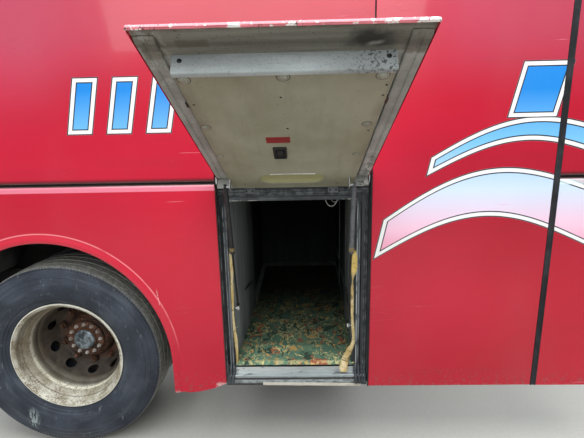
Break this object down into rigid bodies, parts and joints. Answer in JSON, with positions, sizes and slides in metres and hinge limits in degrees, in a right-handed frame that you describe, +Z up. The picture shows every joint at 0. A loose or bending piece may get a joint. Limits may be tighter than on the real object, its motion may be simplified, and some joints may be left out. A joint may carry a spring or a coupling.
{
  "type": "coach body side section with rear wheel and luggage bay",
  "caption": "Length of a coach's side with its rear wheel under the arch and a luggage bay whose top-hinged flap stands open on gas struts.",
  "frame": {"origin": "centre of the outer face of the end plate on the front end of the inner rail", "axes": "+X forward along the coach, +Y from the street side in towards the coach's middle, +Z up"},
  "size_m": [3.524, 2.6693, 2.2959],
  "materials": {
    "crimson_paint": "glossy coach enamel",
    "frame_paint": "satin chassis paint, dusty",
    "bay_board": "grey needle felt on board",
    "bay_metal": "dull grey paint, scuffed",
    "sill_metal": "worn mill finish",
    "seal_rubber": "matt, dusty",
    "black_rubber": "matt",
    "tyre_rubber": "dusty sidewall",
    "rim_paint": "cream paint, rust stained",
    "rusty_iron": "rust over dark paint",
    "flap_grey": "matt grey paint",
    "flap_beige": "matt beige grey paint",
    "rail_grey": "light grey, soiled",
    "black_plastic": "grained",
    "bright_steel": "zinc plated",
    "strut_black": "satin",
    "strut_grey": "satin",
    "rod_steel": "dull, greasy",
    "yellow_foam": "perished foam",
    "cloth": "printed cotton",
    "wire_jacket": "matt"
  },
  "bodies": {
    "body_side": {"wing_panel": "crimson_paint", "upper_panel": "crimson_paint", "front_panel": "crimson_paint", "lower_front_panel": "crimson_paint", "upper_front_panel": "crimson_paint", "rear_strip": "black_rubber", "front_strip": "black_rubber", "side_rails": "frame_paint", "side_posts": "frame_paint", "rear_rail": "frame_paint", "front_rail": "frame_paint", "outriggers": "frame_paint", "bay_crossbars": "frame_paint", "bay_uprights": "frame_paint", "bay_bearers": "frame_paint", "bay_floor": "bay_board", "bay_roof": "bay_board", "bay_rear_wall": "bay_board", "bay_front_wall": "bay_board", "bay_end_wall": "bay_board", "door_jambs": "bay_metal", "header": "bay_metal", "sill": "sill_metal", "door_seal": "seal_rubber", "arch_liner": "black_plastic", "axle_beam": "rusty_iron", "spring_beam": "frame_paint", "rear_air_spring": "black_rubber", "front_air_spring": "black_rubber", "damper": "frame_paint", "brake_shield": "rusty_iron", "brake_chamber": "frame_paint", "wall_brackets": "bright_steel", "strikers": "bright_steel", "foam_strip_left": "yellow_foam", "foam_strip_right": "yellow_foam", "floor_cloth": "cloth", "wire_long": "wire_jacket", "wire_short": "wire_jacket"},
    "wheel": {"outer_tyre": "tyre_rubber", "inner_tyre": "tyre_rubber", "outer_rim": "rim_paint", "inner_rim": "rim_paint", "hub": "rusty_iron", "brake_drum": "rusty_iron", "wheel_nuts": "rusty_iron"},
    "flap": {"flap_skin": "crimson_paint", "flap_frame": "flap_grey", "flap_panel": "flap_beige", "flap_pull": "flap_beige", "flap_rail": "rail_grey", "flap_stiffeners": "flap_grey", "flap_lock": "black_plastic", "flap_latches": "black_plastic", "flap_hinge": "flap_grey", "flap_brackets": "bright_steel"},
    "strut_tube_left": {"strut_tube_left": "strut_black"},
    "strut_rod_left": {"strut_rod_left": "rod_steel"},
    "strut_tube_right": {"strut_tube_right": "strut_grey"},
    "strut_rod_right": {"strut_rod_right": "rod_steel"}
  },
  "joints": [
    {"name": "wheel_spin", "type": "hinge", "parent": "body_side", "child": "wheel", "pos_m": [-2.812, -0.505, -0.438], "axis": [0, 1, 0], "continuous": true},
    {"name": "flap_swing", "type": "hinge", "parent": "body_side", "child": "flap", "pos_m": [-1.597, -0.81, 0.456], "axis": [-1, 0, 0], "range_deg": [-116, 0]},
    {"name": "strut_turn_left", "type": "hinge", "parent": "flap", "child": "strut_tube_left", "pos_m": [-1.894, -0.92954, 0.46869], "axis": [-1, 0, 0], "range_deg": [0, 129.2]},
    {"name": "strut_slide_left", "type": "slide", "parent": "strut_tube_left", "child": "strut_rod_left", "axis": [0, -0.2626, 0.9649], "range_m": [0, 0.14944]},
    {"name": "strut_turn_right", "type": "hinge", "parent": "flap", "child": "strut_tube_right", "pos_m": [-1.324, -0.92954, 0.46869], "axis": [-1, 0, 0], "range_deg": [0, 127.55]},
    {"name": "strut_slide_right", "type": "slide", "parent": "strut_tube_right", "child": "strut_rod_right", "axis": [0, -0.2291, 0.9734], "range_m": [0, 0.14635]}
  ],
  "couplings": [
    {"joint": "strut_turn_left", "follows": "flap_swing", "ratio": -1.1137},
    {"joint": "strut_slide_left", "follows": "flap_swing", "m_per_rad": -0.073764},
    {"joint": "strut_turn_right", "follows": "flap_swing", "ratio": -1.0995},
    {"joint": "strut_slide_right", "follows": "flap_swing", "m_per_rad": -0.072237}
  ]
}
